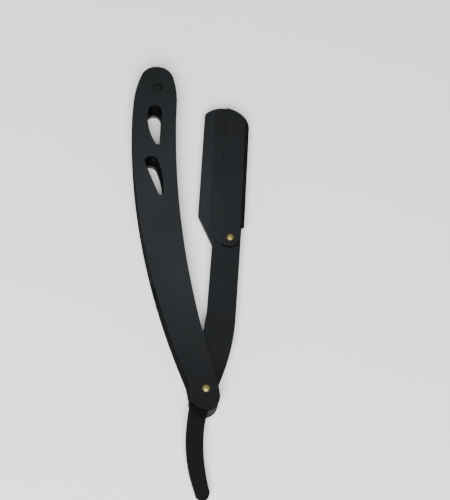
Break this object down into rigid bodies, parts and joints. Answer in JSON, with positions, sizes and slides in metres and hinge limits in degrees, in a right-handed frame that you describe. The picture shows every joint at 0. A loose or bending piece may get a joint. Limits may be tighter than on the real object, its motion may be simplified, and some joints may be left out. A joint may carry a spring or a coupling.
{
  "type": "straight razor",
  "caption": "Folding straight razor for half blades: curved handle scales with teardrop windows, pivoting arm with a squared blade head, swing-out locking leaf and curved tail.",
  "frame": {"origin": "on the pivot axis, in the plane of the rear scale's outer face, which the razor rests on", "axes": "+Z out of the front scale, along the pivot axis; +Y along the blade's cutting edge, from the pivot towards the head; +X from the cutting edge towards the folded spine"},
  "size_m": [0.0448, 0.1685, 0.0095],
  "materials": {
    "coated_scale": "matte black coat, fine texture",
    "coated_arm": "satin black coat",
    "coated_leaf": "satin black coat",
    "brass": "polished domed heads",
    "black_pin": "black",
    "washer_brass": "plain",
    "steel": "plain"
  },
  "bodies": {
    "handle": {"front_scale": "coated_scale", "rear_scale": "coated_scale", "end_spacer": "steel", "end_pin": "black_pin", "pivot_pin": "brass", "rear_collar": "black_pin", "front_collar": "black_pin", "rear_washer": "washer_brass", "front_washer": "washer_brass"},
    "arm": {"blade_arm": "coated_arm", "blade_studs": "steel", "pivot_bush": "washer_brass", "lock_rivet": "brass", "lock_spring": "steel"},
    "leaf": {"lock_leaf": "coated_leaf"}
  },
  "joints": [
    {"name": "arm_swing", "type": "hinge", "parent": "handle", "child": "arm", "pos_m": [0, 0, 0.0045], "axis": [0, 0, -1], "range_deg": [-12.5, 257.5]},
    {"name": "lock_swing", "type": "hinge", "parent": "arm", "child": "leaf", "pos_m": [0.0057, 0.0608, 0.0045], "axis": [0, 0, -1], "range_deg": [0, 100]}
  ]
}
